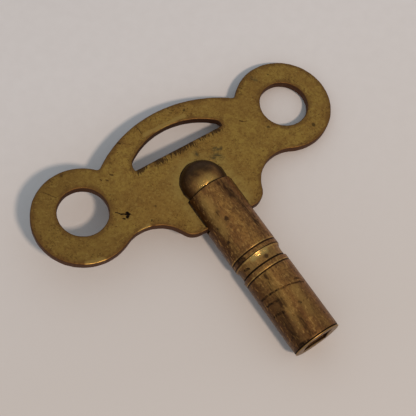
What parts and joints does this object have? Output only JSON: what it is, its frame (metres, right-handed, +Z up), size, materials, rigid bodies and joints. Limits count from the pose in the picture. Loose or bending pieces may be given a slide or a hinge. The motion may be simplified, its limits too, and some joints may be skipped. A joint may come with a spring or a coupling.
{
  "type": "winged winding key",
  "caption": "Flat brass handle with ring wings and a slotted arch, brazed into a turned barrel with a square socket that turns square arbors or tuning pins.",
  "frame": {"origin": "on the surface that the key lies on, under the middle of its length", "axes": "+Z up from the surface; X along the wings; -Y along the barrel towards the socket in its mouth. The key lies as it is put down: rolled 6.9 degrees about the barrel's axis, until the +X wing touches the surface."},
  "size_m": [0.0596, 0.049, 0.0088],
  "materials": {
    "plate_brass": "aged olive-gold sheet brass with dark specks and reddish-brown edges",
    "barrel_brass": "turned brass with a brown patina, rubbed bright on its high edges",
    "brazing_metal": "pale, thin brazing metal, dull"
  },
  "bodies": {
    "root": {"handle_plate": "plate_brass", "barrel": "barrel_brass", "braze_seam_front": "brazing_metal", "braze_seam_back": "brazing_metal"}
  },
  "joints": []
}
